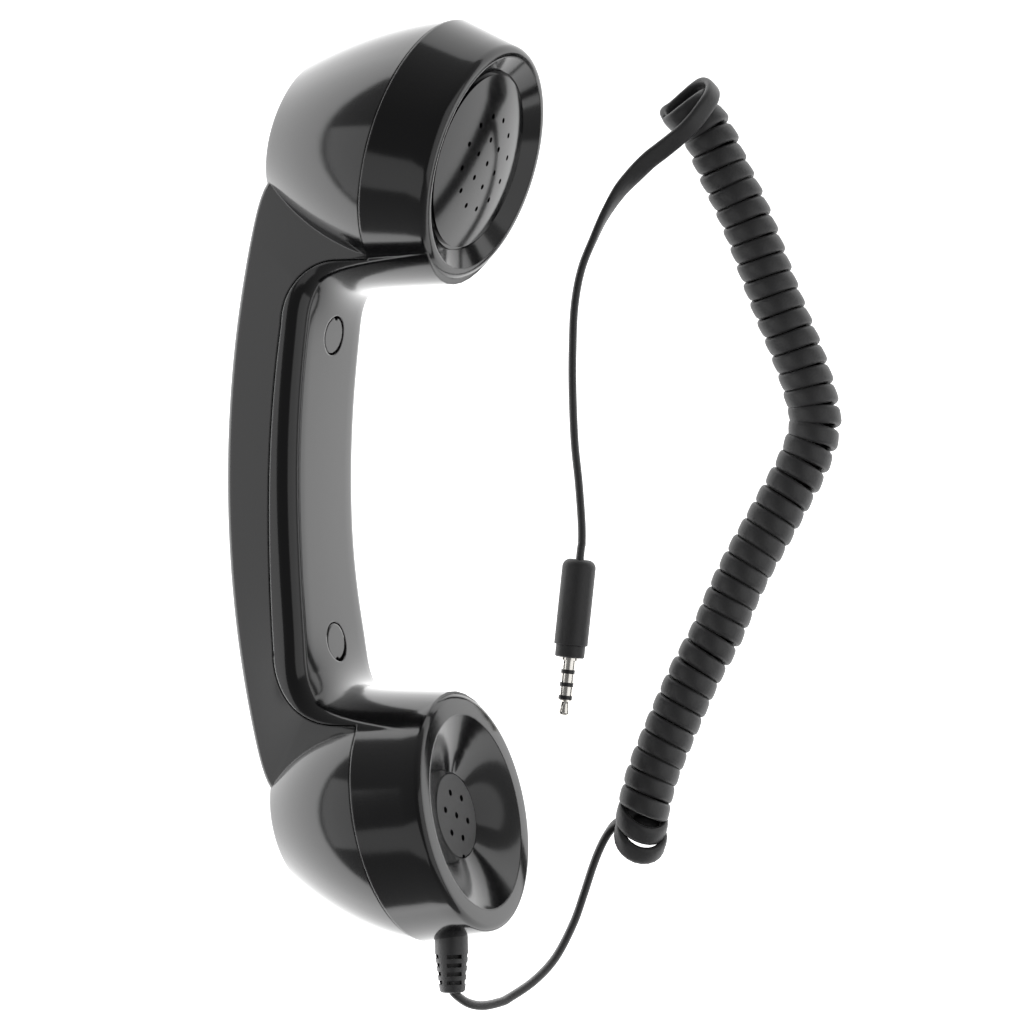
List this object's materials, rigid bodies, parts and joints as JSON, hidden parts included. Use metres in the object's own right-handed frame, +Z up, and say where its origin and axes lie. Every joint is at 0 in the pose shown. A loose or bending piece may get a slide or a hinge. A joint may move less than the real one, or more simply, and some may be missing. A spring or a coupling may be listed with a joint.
{
  "type": "telephone handset",
  "caption": "Glossy black telephone handset with round earpiece and mouthpiece cups, a curly cord and a slim audio plug, lying on its side.",
  "frame": {"origin": "under the middle of the handset's own bounding box, on the table that it lies on", "axes": "+Z up from the table, +Y from the mouthpiece toward the earpiece, +X toward the side that both cups face"},
  "size_m": [0.1466, 0.2339, 0.0649],
  "materials": {
    "gloss_body": "moulded black ABS with a high gloss",
    "steel": "zinc plated",
    "foam": "black foam ring",
    "inner_plastic": "plain black moulding",
    "cone": "paper cone",
    "copper": "wound copper wire",
    "magnet": "pressed ferrite",
    "capsule": "drawn can",
    "boot": "soft black rubber",
    "red_wire": "smooth red insulation",
    "black_wire": "smooth black insulation",
    "board": "green laminate",
    "cord_rubber": "matte black jacket",
    "plug_rubber": "matte black moulding",
    "plug_plastic": "black plastic",
    "contact": "bright nickel plate"
  },
  "bodies": {
    "root": {"front_shell": "gloss_body", "rear_shell": "gloss_body", "earpiece_cap": "gloss_body", "mouthpiece_cup": "gloss_body", "mouthpiece_grille": "gloss_body", "upper_screw_cover": "gloss_body", "lower_screw_cover": "gloss_body", "upper_screw": "steel", "lower_screw": "steel", "receiver_gasket": "foam", "receiver_frame": "inner_plastic", "receiver_diaphragm": "cone", "receiver_voice_coil": "copper", "receiver_yoke": "steel", "receiver_magnet": "magnet", "receiver_pole_plate": "steel", "receiver_lead_red": "red_wire", "receiver_lead_black": "black_wire", "microphone_capsule": "capsule", "microphone_boot": "boot", "microphone_lead_red": "red_wire", "microphone_lead_black": "black_wire", "junction_board": "board", "strain_relief": "cord_rubber", "handset_lead": "cord_rubber", "curly_cord": "cord_rubber", "plug_lead": "cord_rubber", "plug_body": "plug_rubber", "plug_collar": "plug_plastic", "plug_sleeve": "contact", "plug_insulator_3": "plug_plastic", "plug_ring_2": "contact", "plug_insulator_2": "plug_plastic", "plug_ring_1": "contact", "plug_insulator_1": "plug_plastic", "plug_tip": "contact"}
  },
  "joints": []
}
